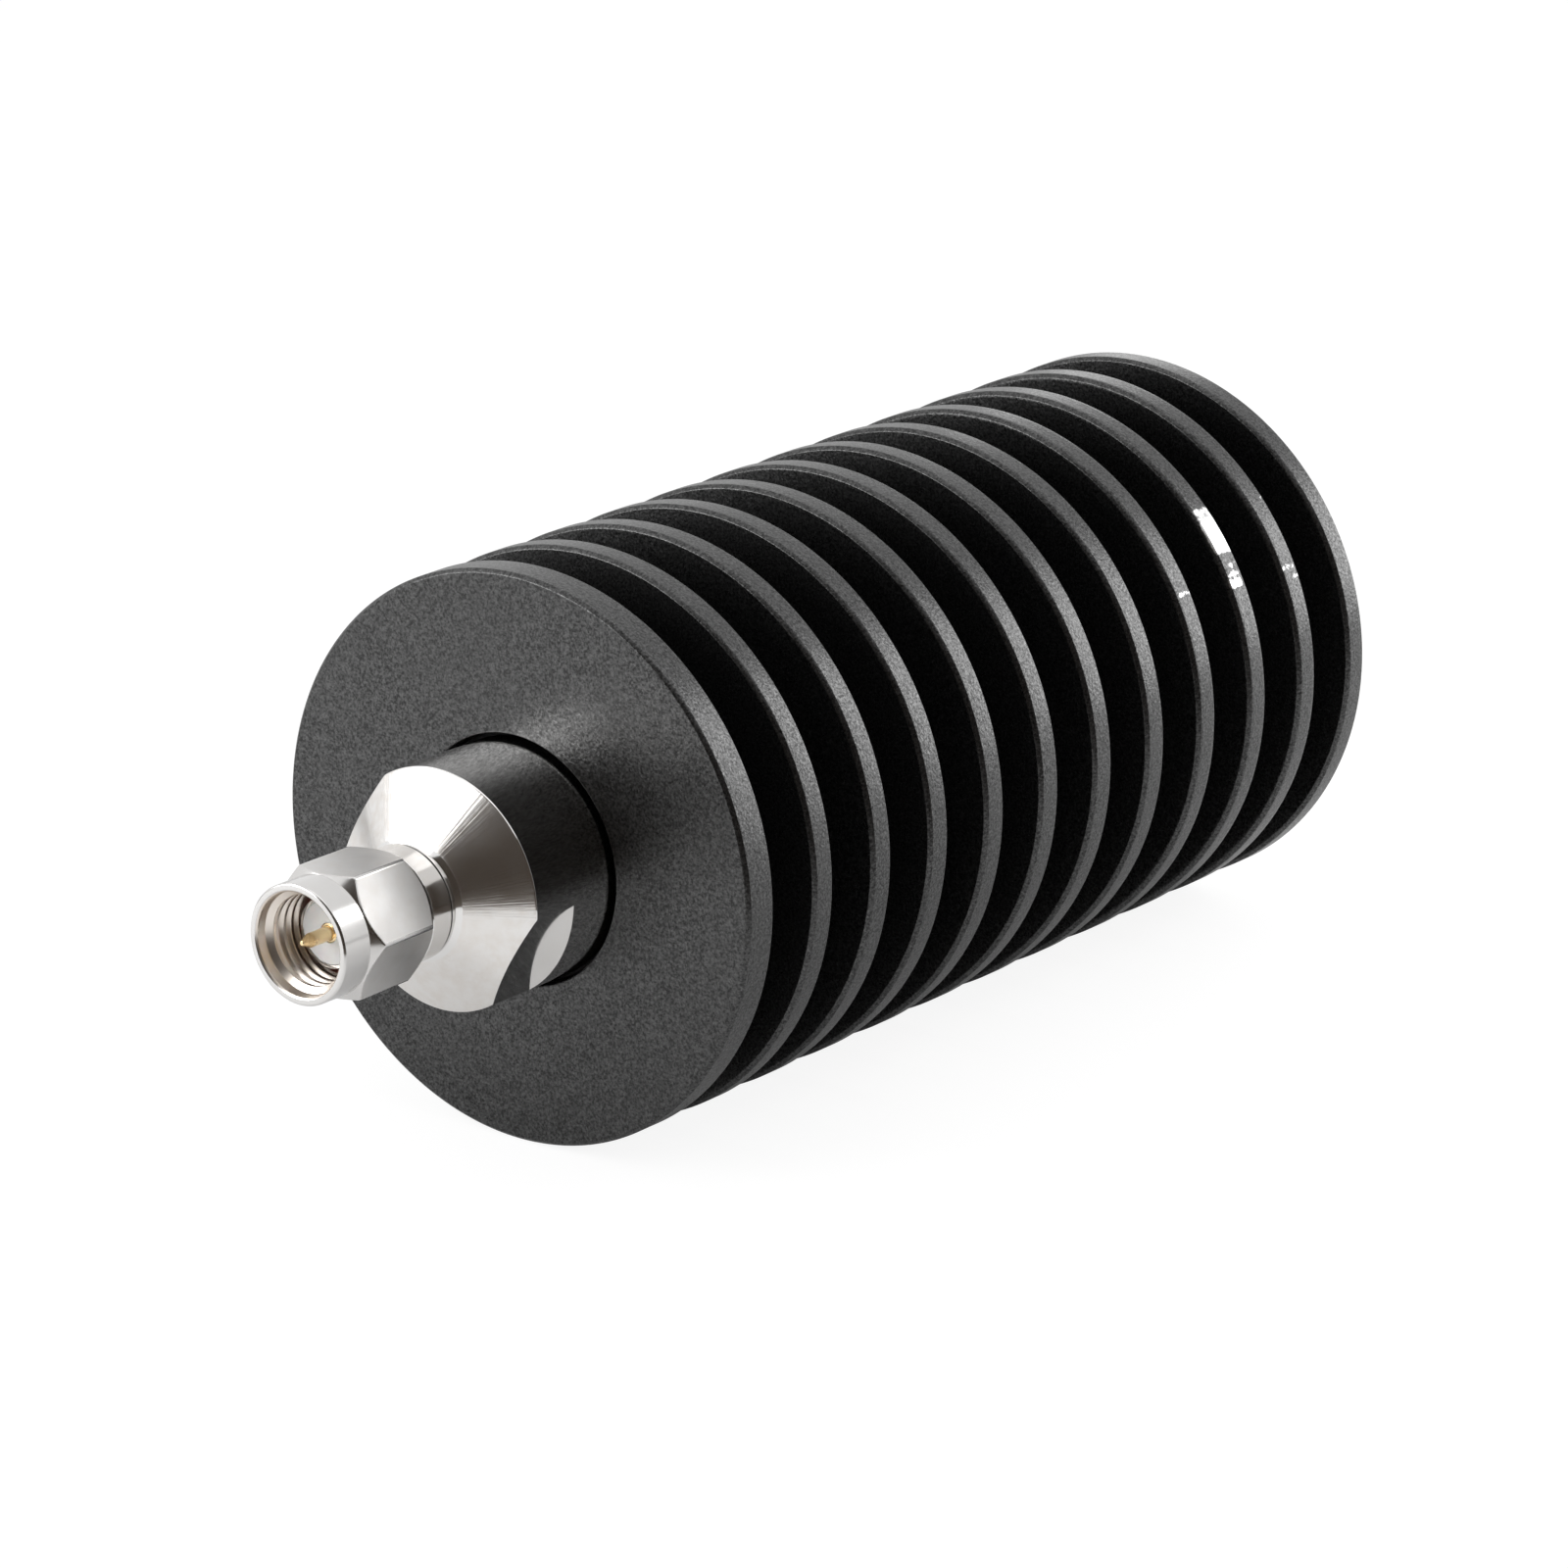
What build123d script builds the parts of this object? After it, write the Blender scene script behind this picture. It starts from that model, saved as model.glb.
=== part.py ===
from build123d import *
from math import cos, radians, sin, sqrt, tan
import os

# The attenuator lies along Y. Its plug faces -Y, its jack faces +Y, and the origin is on the axis
# at the plug's mating plane. All profiles are drawn as (radius, y) and turned about Y. Millimetres.

# Heatsink: one turned bar with disc fins and a bore from end to end.
heatsink_radius = 19.0
core_radius = 11.5
fin_count = 12
fin_width = 2.0
fin_gap = 4.08
front_fin_width = 2.65
fin_chamfer = 0.25
fin_root_fillet = 0.4
end_pocket_depth = 3.6
end_pocket_chamfer = 0.12
thread_depth = 6.5

# Connector bodies: a cone and a cylinder with two spanner flats, screwed into each end.
body_radius = 8.0
body_exposed_length = 7.32
cone_half_angle = 58.0
cone_tip_step = 0.3
nose_length = 0.6
nose_groove_depth = 0.18
nose_groove_width = 0.24
nose_chamfer = 0.12
spanner_size = 14.2
spanner_flat_length = 3.62
flat_angle = -30.0
spigot_shoulder = 0.55
spigot_chamfer = 0.4

# Seal ring round each connector body, in the end pocket of the heatsink.
seal_width = 1.2
seal_groove_depth = 0.75
seal_setback = 1.2

# Fits between turned pieces.
fit_clearance = 0.02
thread_clearance = 0.05
pocket_clearance = 0.3
running_clearance = 0.05

# Coaxial line.
line_bore_radius = 1.46
conductor_radius = 0.635
conductor_step = 0.085
bead_seat_width = 1.14
bead_thickness = 1.5
bead_setback = 0.5

# Connector shells: the thin front piece of each connector, screwed into its body.
shell_screw_wall = 0.89
shell_screw_length = 4.0
shell_flange_radius = 3.8
shell_flange_length = 1.7

# Plug shell, pin and coupling nut.
plug_contact_radius = 2.295
plug_contact_length = 2.0
plug_contact_wall = 0.235
plug_barrel_radius = 2.65
plug_barrel_end = 5.7
pin_radius = 0.46
pin_reach = 2.5
pin_cone_length = 0.75
pin_nose_radius = 0.14
nut_mouth = 2.9
nut_length = 8.3
nut_collar_step = 0.2
nut_collar_length = 2.21
nut_hex_size = 8.0
nut_rear_step = 0.12
nut_rest_turn = 1.3
nut_mouth_chamfer = 0.26
nut_lip_chamfer = 0.14
nut_floor = 2.6
gasket_thickness = 0.55
gasket_lip = 0.1
ring_setback = 1.2
ring_thickness = 0.4
ring_width = 0.63
ring_in_shell = 0.35
ring_opening = 34.0
nut_float = 0.15

# Jack shell and its socket.
jack_thread_radius = 3.17
jack_barrel_length = 5.8
jack_relief_depth = 0.51
jack_relief_width = 0.7
jack_lead_chamfer = 0.35
jack_counterbore_depth = 1.95
contact_slip = 0.005
mating_thread_slip = 0.03
socket_slip = 0.015
socket_bore_depth = 3.0
socket_slot_width = 0.15
socket_slot_length = 2.4
socket_slot_count = 4
socket_lead_chamfer = 0.1

# Inside the bore: a split round carrier that holds the resistive chip.
carrier_step = 0.47
carrier_seat = -1.0
channel_side_gap = 0.4
channel_top = 2.6
chip_width = 6.0
chip_length = 34.0
lid_width = 4.6
lid_length = 26.0
lid_thickness = 0.6
tab_width = 0.9
tab_thickness = 0.1
tab_on_chip = 2.0
tab_on_conductor = 2.2
chip_to_conductor = 1.0
screw_radius = 0.8
screw_head_radius = 1.35
screw_head_height = 1.2
screw_head_seat = 1.3
screw_depth = 2.4
screw_key_width = 0.9
screw_key_depth = 0.7
screw_edge = 1.88
screw_spacing = 30.0
spring_gap = 0.5
spring_thickness = 0.25
spring_width = 2.5
spring_edge = 0.28

# Places along the axis that follow from the sizes above.
nose_radius = shell_flange_radius
nose_groove_radius = nose_radius - nose_groove_depth
cone_tip_radius = nose_radius + cone_tip_step
cone_length = (body_radius - cone_tip_radius) / tan(radians(cone_half_angle))
nose_out = body_exposed_length + cone_length + nose_length
shell_out = nose_out + shell_flange_length
heatsink_front = plug_barrel_end + shell_out
heatsink_length = front_fin_width + (fin_count - 1) * (fin_gap + fin_width)
heatsink_back = heatsink_front + heatsink_length
pocket_radius = body_radius + pocket_clearance
spigot_radius = body_radius - spigot_shoulder
tapped_radius = spigot_radius + thread_clearance
carrier_radius = spigot_radius - carrier_step
bore_radius = carrier_radius + fit_clearance
spigot_in = end_pocket_depth + thread_depth
shell_bore_radius = plug_contact_radius - plug_contact_wall
dielectric_radius = shell_bore_radius - fit_clearance
shell_screw_radius = shell_bore_radius + shell_screw_wall
shell_screw_out = nose_out - shell_screw_length
rear_conductor_radius = conductor_radius - conductor_step
bead_radius = line_bore_radius + bead_seat_width
bead_hole_radius = rear_conductor_radius + fit_clearance
bead_in = spigot_in - bead_setback
carrier_front = heatsink_front + spigot_in + spring_gap
carrier_back = heatsink_back - spigot_in - spring_gap
carrier_middle = (carrier_front + carrier_back) / 2
chip_front = carrier_middle - chip_length / 2
chip_back = carrier_middle + chip_length / 2
channel_half_width = chip_width / 2 + channel_side_gap
screw_offset = carrier_radius - screw_edge
spring_outer_radius = carrier_radius - spring_edge
spring_inner_radius = spring_outer_radius - spring_width
ring_front = nut_floor + ring_setback
ring_inner_radius = plug_barrel_radius - ring_in_shell
ring_outer_radius = ring_inner_radius + ring_width
jack_end = heatsink_back + shell_out + jack_barrel_length
jack_plane = jack_end - jack_counterbore_depth
jack_relief_radius = jack_thread_radius - jack_relief_depth
jack_counterbore_radius = plug_contact_radius + contact_slip
socket_bore_radius = pin_radius + socket_slip
nut_thread_radius = jack_thread_radius + mating_thread_slip
nut_mouth_radius = nut_thread_radius + nut_mouth_chamfer
nut_collar_radius = nut_hex_size / 2 - nut_collar_step
nut_rear_radius = nut_hex_size / 2 - nut_rear_step
gasket_radius = nut_thread_radius + gasket_lip

# Each end of the heatsink: where its face is and which way the connector leaves it.
ENDS = {"plug": (heatsink_front, -1), "jack": (heatsink_back, 1)}


def place(end, out):
    """The y of a point that far out from the heatsink's face at that end; inside is negative."""
    face, way = ENDS[end]
    return face + way * out


def along(end, pairs):
    """Turns (radius, distance out from the face) pairs into (radius, y) points of a profile."""
    return [(radius, place(end, out)) for radius, out in pairs]


def save(piece, name):
    """Names a finished piece and writes it."""
    piece.part.label = name
    export_step(piece.part, f"parts/{name}.step")


os.makedirs("parts", exist_ok=True)

# Heatsink
with BuildPart() as heatsink:
    with BuildSketch():
        with Locations((0, heatsink_front)):
            Rectangle(heatsink_radius, heatsink_length, align=(Align.MIN, Align.MIN))
    revolve(axis=Axis.Y)
    chamfer(heatsink.edges().filter_by(GeomType.CIRCLE), fin_chamfer)
    with BuildSketch():
        for groove in range(fin_count - 1):
            start = heatsink_front + front_fin_width + groove * (fin_gap + fin_width)
            with BuildLine():
                FilletPolyline(
                    (heatsink_radius + fin_chamfer, start - 2 * fin_chamfer),
                    (heatsink_radius - fin_chamfer, start),
                    (core_radius, start),
                    (core_radius, start + fin_gap),
                    (heatsink_radius - fin_chamfer, start + fin_gap),
                    (heatsink_radius + fin_chamfer, start + fin_gap + 2 * fin_chamfer),
                    radius=(0, 0, fin_root_fillet, fin_root_fillet, 0, 0),
                    close=True,
                )
            make_face()
    revolve(axis=Axis.Y, mode=Mode.SUBTRACT)
    with BuildSketch():
        with BuildLine():
            Polyline(
                *along("plug", [(0, 0), (pocket_radius + end_pocket_chamfer, 0)]),
                *along("plug", [(pocket_radius, -end_pocket_chamfer), (pocket_radius, -end_pocket_depth)]),
                *along("plug", [(tapped_radius, -end_pocket_depth), (tapped_radius, -spigot_in)]),
                *along("plug", [(bore_radius, -spigot_in)]),
                *along("jack", [(bore_radius, -spigot_in)]),
                *along("jack", [(tapped_radius, -spigot_in), (tapped_radius, -end_pocket_depth)]),
                *along("jack", [(pocket_radius, -end_pocket_depth), (pocket_radius, -end_pocket_chamfer)]),
                *along("jack", [(pocket_radius + end_pocket_chamfer, 0), (0, 0)]),
                close=True,
            )
        make_face()
    revolve(axis=Axis.Y, mode=Mode.SUBTRACT)
save(heatsink, "heatsink")


def connector_body(end):
    """The cone, the cylinder with two flats and the threaded spigot of one connector."""
    cone_base = body_exposed_length
    cone_tip = cone_base + cone_length
    groove_out = cone_tip + nose_groove_width
    seal_in = seal_setback + seal_width
    seat = shell_screw_radius + thread_clearance
    outline = [
        (seat, nose_out),
        (nose_radius - nose_chamfer, nose_out),
        (nose_radius, nose_out - nose_chamfer),
        (nose_radius, groove_out),
        (nose_groove_radius, groove_out),
        (nose_groove_radius, cone_tip),
        (cone_tip_radius, cone_tip),
        (body_radius, cone_base),
        (body_radius, -seal_setback),
        (body_radius - seal_groove_depth, -seal_setback),
        (body_radius - seal_groove_depth, -seal_in),
        (body_radius, -seal_in),
        (body_radius, -end_pocket_depth),
        (spigot_radius, -end_pocket_depth),
        (spigot_radius, -spigot_in + spigot_chamfer),
        (spigot_radius - spigot_chamfer, -spigot_in),
        (bead_radius, -spigot_in),
        (bead_radius, -bead_in + bead_thickness),
        (line_bore_radius, -bead_in + bead_thickness),
        (line_bore_radius, shell_screw_out),
        (seat, shell_screw_out),
    ]
    with BuildPart() as body:
        with BuildSketch():
            with BuildLine():
                Polyline(*along(end, outline), close=True)
            make_face()
        revolve(axis=Axis.Y)
        flat_plane = Plane(
            origin=(0, place(end, cone_base - spanner_flat_length), 0),
            x_dir=(cos(radians(flat_angle)), 0, sin(radians(flat_angle))),
            z_dir=(0, ENDS[end][1], 0),
        )
        chord_height = body_radius - spanner_size / 2
        with BuildSketch(flat_plane):
            with Locations(((spanner_size + chord_height) / 2, 0), (-(spanner_size + chord_height) / 2, 0)):
                Rectangle(chord_height, 2 * body_radius)
        extrude(amount=spanner_flat_length + cone_length, mode=Mode.SUBTRACT)
    return body


def seal_ring(end):
    """The squeezed rubber ring between a connector body and the wall of its pocket."""
    thickness = seal_groove_depth + pocket_clearance - 2 * fit_clearance
    middle = pocket_radius - fit_clearance - thickness / 2
    width = seal_width - 2 * fit_clearance
    with BuildPart() as ring:
        with BuildSketch():
            with Locations((middle, place(end, -seal_setback - seal_width / 2))):
                RectangleRounded(thickness, width, thickness / 3)
        revolve(axis=Axis.Y)
    return ring


def support_bead(end):
    """The plastic disc that centres the conductor where the line leaves the connector body."""
    with BuildPart() as bead:
        with BuildSketch(Plane.XZ.offset(-place(end, -bead_in + bead_thickness / 2))):
            Circle(bead_radius - fit_clearance)
            Circle(bead_hole_radius, mode=Mode.SUBTRACT)
        extrude(amount=bead_thickness / 2, both=True)
    return bead


def ground_spring(end):
    """The cone washer that presses the carrier and the connector body together for ground."""
    low = -spigot_in
    high = low - spring_gap
    with BuildPart() as spring:
        with BuildSketch():
            with BuildLine():
                Polyline(
                    *along(end, [(spring_inner_radius, low)]),
                    *along(end, [(spring_inner_radius, low - spring_thickness)]),
                    *along(end, [(spring_outer_radius, high)]),
                    *along(end, [(spring_outer_radius, high + spring_thickness)]),
                    close=True,
                )
            make_face()
        revolve(axis=Axis.Y)
    return spring


for end in ENDS:
    save(connector_body(end), f"{end}_body")
    save(seal_ring(end), f"{end}_seal")
    save(support_bead(end), f"{end}_bead")
    save(ground_spring(end), f"{end}_ground_spring")

# Plug shell: the outer contact, the groove for the retaining ring, the neck and the screw thread
ring_groove_front = ring_front - nut_float - running_clearance
ring_groove_back = ring_front + ring_thickness + nut_float + running_clearance
ring_groove_radius = ring_inner_radius - running_clearance
with BuildPart() as plug_shell:
    with BuildSketch():
        with BuildLine():
            Polyline(
                (shell_bore_radius, 0),
                (plug_contact_radius, 0),
                (plug_contact_radius, plug_contact_length),
                (plug_barrel_radius, plug_contact_length),
                (plug_barrel_radius, ring_groove_front),
                (ring_groove_radius, ring_groove_front),
                (ring_groove_radius, ring_groove_back),
                (plug_barrel_radius, ring_groove_back),
                (plug_barrel_radius, plug_barrel_end),
                (shell_flange_radius - nose_chamfer, plug_barrel_end),
                (shell_flange_radius, plug_barrel_end + nose_chamfer),
                *along("plug", [(shell_flange_radius, nose_out + nose_chamfer)]),
                *along("plug", [(shell_flange_radius - nose_chamfer, nose_out)]),
                *along("plug", [(shell_screw_radius, nose_out), (shell_screw_radius, shell_screw_out)]),
                *along("plug", [(shell_bore_radius, shell_screw_out)]),
                close=True,
            )
        make_face()
    revolve(axis=Axis.Y)
save(plug_shell, "plug_shell")

# Plug dielectric
with BuildPart() as plug_dielectric:
    with BuildSketch():
        with BuildLine():
            Polyline(
                (conductor_radius + fit_clearance, 0),
                (dielectric_radius, 0),
                *along("plug", [(dielectric_radius, shell_screw_out)]),
                *along("plug", [(conductor_radius + fit_clearance, shell_screw_out)]),
                close=True,
            )
        make_face()
    revolve(axis=Axis.Y)
save(plug_dielectric, "plug_dielectric")

# Plug pin: the mating pin and the inner conductor as far as the chip, in one piece
conductor_end = chip_front - chip_to_conductor
with BuildPart() as plug_pin:
    with BuildSketch():
        with BuildLine():
            Polyline(
                (0, -pin_reach),
                (pin_nose_radius, -pin_reach),
                (pin_radius, -pin_reach + pin_cone_length),
                (pin_radius, 0),
                (conductor_radius, 0),
                *along("plug", [(conductor_radius, -bead_in + bead_thickness)]),
                *along("plug", [(rear_conductor_radius, -bead_in + bead_thickness)]),
                (rear_conductor_radius, conductor_end),
                (0, conductor_end),
                close=True,
            )
        make_face()
    revolve(axis=Axis.Y)
    with BuildSketch(Plane.XY):
        with Locations((0, conductor_end)):
            Rectangle(2 * conductor_radius, tab_on_conductor, align=(Align.CENTER, Align.MAX))
    extrude(amount=conductor_radius, mode=Mode.SUBTRACT)
save(plug_pin, "plug_pin")

# Retaining ring: a split ring, half in the shell's groove and half in the nut's
with BuildPart() as retaining_ring:
    with BuildSketch(Plane.XZ.offset(-ring_front)):
        Circle(ring_outer_radius)
        Circle(ring_inner_radius, mode=Mode.SUBTRACT)
        with BuildLine():
            opening = radians(ring_opening / 2)
            reach = 2 * ring_outer_radius
            Polyline(
                (0, 0),
                (reach * sin(opening), -reach * cos(opening)),
                (-reach * sin(opening), -reach * cos(opening)),
                close=True,
            )
        make_face(mode=Mode.SUBTRACT)
    extrude(amount=-ring_thickness)
save(retaining_ring, "retaining_ring")

# Coupling nut: a round collar, a hexagon with turned corners, the threaded hole and the ring's groove
nut_back = nut_length - nut_mouth
hex_front = nut_collar_length - nut_mouth
hex_corner_radius = nut_hex_size / sqrt(3)
corner_front = hex_front + hex_corner_radius - nut_collar_radius
corner_back = nut_back - (hex_corner_radius - nut_rear_radius)
nut_bore_radius = plug_barrel_radius + running_clearance + fit_clearance
nut_groove_radius = ring_outer_radius + running_clearance + fit_clearance
nut_groove_front = ring_front - running_clearance
nut_groove_back = ring_front + ring_thickness + running_clearance
gasket_pocket_radius = gasket_radius + fit_clearance
gasket_front = nut_floor - gasket_thickness
with BuildPart() as coupling_nut:
    with BuildSketch(Plane.XZ.offset(nut_mouth)):
        RegularPolygon(hex_corner_radius, 6, rotation=nut_rest_turn)
    extrude(amount=-nut_length)
    with BuildSketch():
        with BuildLine():
            Polyline(
                (0, -nut_mouth),
                (nut_collar_radius - nut_lip_chamfer, -nut_mouth),
                (nut_collar_radius, -nut_mouth + nut_lip_chamfer),
                (nut_collar_radius, hex_front),
                (hex_corner_radius, corner_front),
                (hex_corner_radius, corner_back),
                (nut_rear_radius, nut_back),
                (0, nut_back),
                close=True,
            )
        make_face()
    revolve(axis=Axis.Y, mode=Mode.INTERSECT)
    with BuildSketch():
        with BuildLine():
            Polyline(
                (0, -nut_mouth),
                (nut_mouth_radius, -nut_mouth),
                (nut_thread_radius, -nut_mouth + nut_mouth_chamfer),
                (nut_thread_radius, gasket_front),
                (gasket_pocket_radius, gasket_front),
                (gasket_pocket_radius, nut_floor),
                (nut_bore_radius, nut_floor),
                (nut_bore_radius, nut_groove_front),
                (nut_groove_radius, nut_groove_front),
                (nut_groove_radius, nut_groove_back),
                (nut_bore_radius, nut_groove_back),
                (nut_bore_radius, nut_back),
                (0, nut_back),
                close=True,
            )
        make_face()
    revolve(axis=Axis.Y, mode=Mode.SUBTRACT)
save(coupling_nut, "coupling_nut")

# Nut gasket: a soft flat ring on the floor of the nut's hole
with BuildPart() as nut_gasket:
    with BuildSketch(Plane.XZ.offset(-nut_floor)):
        Circle(gasket_radius)
        Circle(plug_barrel_radius + running_clearance, mode=Mode.SUBTRACT)
    extrude(amount=gasket_thickness)
save(nut_gasket, "nut_gasket")

# Jack shell: the screw thread, the neck and the threaded barrel with its counterbore
with BuildPart() as jack_shell:
    with BuildSketch():
        with BuildLine():
            Polyline(
                *along("jack", [(shell_bore_radius, shell_screw_out)]),
                *along("jack", [(shell_screw_radius, shell_screw_out)]),
                *along("jack", [(shell_screw_radius, nose_out)]),
                *along("jack", [(shell_flange_radius - nose_chamfer, nose_out)]),
                *along("jack", [(shell_flange_radius, nose_out + nose_chamfer)]),
                *along("jack", [(shell_flange_radius, shell_out - nose_chamfer)]),
                *along("jack", [(shell_flange_radius - nose_chamfer, shell_out)]),
                *along("jack", [(jack_relief_radius, shell_out)]),
                *along("jack", [(jack_relief_radius, shell_out + jack_relief_width)]),
                *along("jack", [(jack_thread_radius, shell_out + jack_relief_width)]),
                (jack_thread_radius, jack_end - jack_lead_chamfer),
                (jack_thread_radius - jack_lead_chamfer, jack_end),
                (jack_counterbore_radius, jack_end),
                (jack_counterbore_radius, jack_plane),
                (shell_bore_radius, jack_plane),
                close=True,
            )
        make_face()
    revolve(axis=Axis.Y)
save(jack_shell, "jack_shell")

# Jack dielectric
with BuildPart() as jack_dielectric:
    with BuildSketch():
        with BuildLine():
            Polyline(
                *along("jack", [(conductor_radius + fit_clearance, shell_screw_out)]),
                *along("jack", [(dielectric_radius, shell_screw_out)]),
                (dielectric_radius, jack_plane),
                (conductor_radius + fit_clearance, jack_plane),
                close=True,
            )
        make_face()
    revolve(axis=Axis.Y)
save(jack_dielectric, "jack_dielectric")

# Jack contact: the slotted socket and the inner conductor as far as the chip, in one piece
contact_start = chip_back + chip_to_conductor
with BuildPart() as jack_contact:
    with BuildSketch():
        with BuildLine():
            Polyline(
                (0, contact_start),
                (rear_conductor_radius, contact_start),
                *along("jack", [(rear_conductor_radius, -bead_in + bead_thickness)]),
                *along("jack", [(conductor_radius, -bead_in + bead_thickness)]),
                (conductor_radius, jack_plane),
                (socket_bore_radius + socket_lead_chamfer, jack_plane),
                (socket_bore_radius, jack_plane - socket_lead_chamfer),
                (socket_bore_radius, jack_plane - socket_bore_depth),
                (0, jack_plane - socket_bore_depth - socket_bore_radius),
                close=True,
            )
        make_face()
    revolve(axis=Axis.Y)
    with BuildSketch(Plane.XY):
        with Locations((0, contact_start)):
            Rectangle(2 * conductor_radius, tab_on_conductor, align=(Align.CENTER, Align.MIN))
    extrude(amount=conductor_radius, mode=Mode.SUBTRACT)
    with BuildSketch(Plane.XZ.offset(-jack_plane)):
        with PolarLocations(0, socket_slot_count // 2, angular_range=180, endpoint=False):
            Rectangle(4 * conductor_radius, socket_slot_width)
    extrude(amount=socket_slot_length, mode=Mode.SUBTRACT)
save(jack_contact, "jack_contact")

# Chip carrier: the lower half of a split round bar, with its flat under the chip
screw_rows = (carrier_middle - screw_spacing / 2, carrier_middle + screw_spacing / 2)
screw_places = [(x, y) for x in (-screw_offset, screw_offset) for y in screw_rows]
carrier_length = carrier_back - carrier_front
with BuildPart() as chip_carrier:
    with BuildSketch(Plane.XZ.offset(-carrier_front)):
        Circle(carrier_radius)
        with Locations((0, carrier_seat)):
            Rectangle(
                2 * carrier_radius,
                2 * carrier_radius,
                align=(Align.CENTER, Align.MIN),
                mode=Mode.SUBTRACT,
            )
    extrude(amount=-carrier_length)
    with BuildSketch(Plane.XY.offset(carrier_seat)):
        with Locations(*screw_places):
            Circle(screw_radius + fit_clearance)
    extrude(amount=-screw_depth, mode=Mode.SUBTRACT)
save(chip_carrier, "chip_carrier")

# Channel cover: the upper half of the bar, hollowed over the chip, with four sunk screw holes
with BuildPart() as channel_cover:
    with BuildSketch(Plane.XZ.offset(-carrier_front)):
        Circle(carrier_radius)
        with Locations((0, carrier_seat)):
            Rectangle(
                2 * carrier_radius,
                2 * carrier_radius,
                align=(Align.CENTER, Align.MAX),
                mode=Mode.SUBTRACT,
            )
            Rectangle(
                2 * channel_half_width,
                channel_top - carrier_seat,
                align=(Align.CENTER, Align.MIN),
                mode=Mode.SUBTRACT,
            )
    extrude(amount=-carrier_length)
    with BuildSketch(Plane.XY.offset(carrier_seat)):
        with Locations(*screw_places):
            Circle(screw_radius + fit_clearance)
    extrude(amount=carrier_radius, mode=Mode.SUBTRACT)
    with BuildSketch(Plane.XY.offset(screw_head_seat)):
        with Locations(*screw_places):
            Circle(screw_head_radius + running_clearance)
    extrude(amount=carrier_radius, mode=Mode.SUBTRACT)
save(channel_cover, "channel_cover")

# Cover screws
with BuildPart() as cover_screws:
    with BuildSketch(Plane.XY.offset(carrier_seat - screw_depth + running_clearance)):
        with Locations(*screw_places):
            Circle(screw_radius)
    extrude(amount=screw_head_seat - carrier_seat + screw_depth - running_clearance)
    with BuildSketch(Plane.XY.offset(screw_head_seat)):
        with Locations(*screw_places):
            Circle(screw_head_radius)
    extrude(amount=screw_head_height)
    with BuildSketch(Plane.XY.offset(screw_head_seat + screw_head_height)):
        with Locations(*screw_places):
            RegularPolygon(screw_key_width / 2, 6)
    extrude(amount=-screw_key_depth, mode=Mode.SUBTRACT)
save(cover_screws, "cover_screws")

# Attenuator chip: a flat ceramic bar whose top is level with the axis
with BuildPart() as attenuator_chip:
    with BuildSketch(Plane.XY.offset(carrier_seat)):
        with Locations((0, carrier_middle)):
            Rectangle(chip_width, chip_length)
    extrude(amount=-carrier_seat)
save(attenuator_chip, "attenuator_chip")

# Chip lid: the ceramic plate over the resistive film
with BuildPart() as chip_lid:
    with BuildSketch(Plane.XY):
        with Locations((0, carrier_middle)):
            RectangleRounded(lid_width, lid_length, lid_thickness)
    extrude(amount=lid_thickness)
save(chip_lid, "chip_lid")


def contact_tab(chip_edge, conductor_edge):
    """A flat ribbon from the top of the chip to the flattened end of a conductor."""
    way = 1 if conductor_edge > chip_edge else -1
    start = chip_edge - way * tab_on_chip
    finish = conductor_edge + way * (tab_on_conductor - 2 * tab_thickness)
    with BuildPart() as tab:
        with BuildSketch(Plane.XY):
            with Locations((0, (start + finish) / 2)):
                Rectangle(tab_width, abs(finish - start))
        extrude(amount=tab_thickness)
    return tab


save(contact_tab(chip_front, conductor_end), "input_tab")
save(contact_tab(chip_back, contact_start), "output_tab")
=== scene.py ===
from math import cos, pi, radians, sin, sqrt, tan

import bmesh
import bpy
import numpy as np
from mathutils import Matrix, Vector


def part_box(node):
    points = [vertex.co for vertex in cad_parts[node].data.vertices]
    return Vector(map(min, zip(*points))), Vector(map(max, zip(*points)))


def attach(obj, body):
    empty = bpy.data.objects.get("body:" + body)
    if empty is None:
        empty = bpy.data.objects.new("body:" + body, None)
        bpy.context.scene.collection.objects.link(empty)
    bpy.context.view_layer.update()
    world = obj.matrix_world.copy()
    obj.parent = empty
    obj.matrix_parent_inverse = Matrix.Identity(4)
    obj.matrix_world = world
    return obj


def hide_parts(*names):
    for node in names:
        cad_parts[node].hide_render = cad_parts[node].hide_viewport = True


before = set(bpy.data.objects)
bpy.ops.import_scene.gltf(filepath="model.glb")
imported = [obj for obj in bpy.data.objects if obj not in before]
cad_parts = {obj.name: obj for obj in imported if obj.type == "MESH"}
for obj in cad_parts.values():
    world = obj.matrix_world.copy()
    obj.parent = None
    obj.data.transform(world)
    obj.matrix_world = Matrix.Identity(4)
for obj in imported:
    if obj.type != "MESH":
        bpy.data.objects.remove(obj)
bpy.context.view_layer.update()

# Lengths are in millimetres, as in the CAD source, and angles in degrees from +X towards +Z.
# A turned piece is a list of (radius, y) points turned about Y, the axis of the part. A name that
# ends in _out is a distance out from the heatsink's face, and one in _in a distance into it.
MM = 0.001
MERGE_DISTANCE = 1e-5
SHARP_ANGLE = 33
DENSE_STEP = 0.3

# Heatsink sizes
heatsink_radius = 19.0
core_radius = 11.5
fin_count = 12
fin_width = 2.0
fin_gap = 4.08
front_fin_width = 2.65
fin_chamfer = 0.25
fin_root_fillet = 0.4
pocket_radius = 8.3
pocket_chamfer = 0.12
pocket_in = 3.6
tapped_radius = 7.5
bore_radius = 7.0

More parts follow.
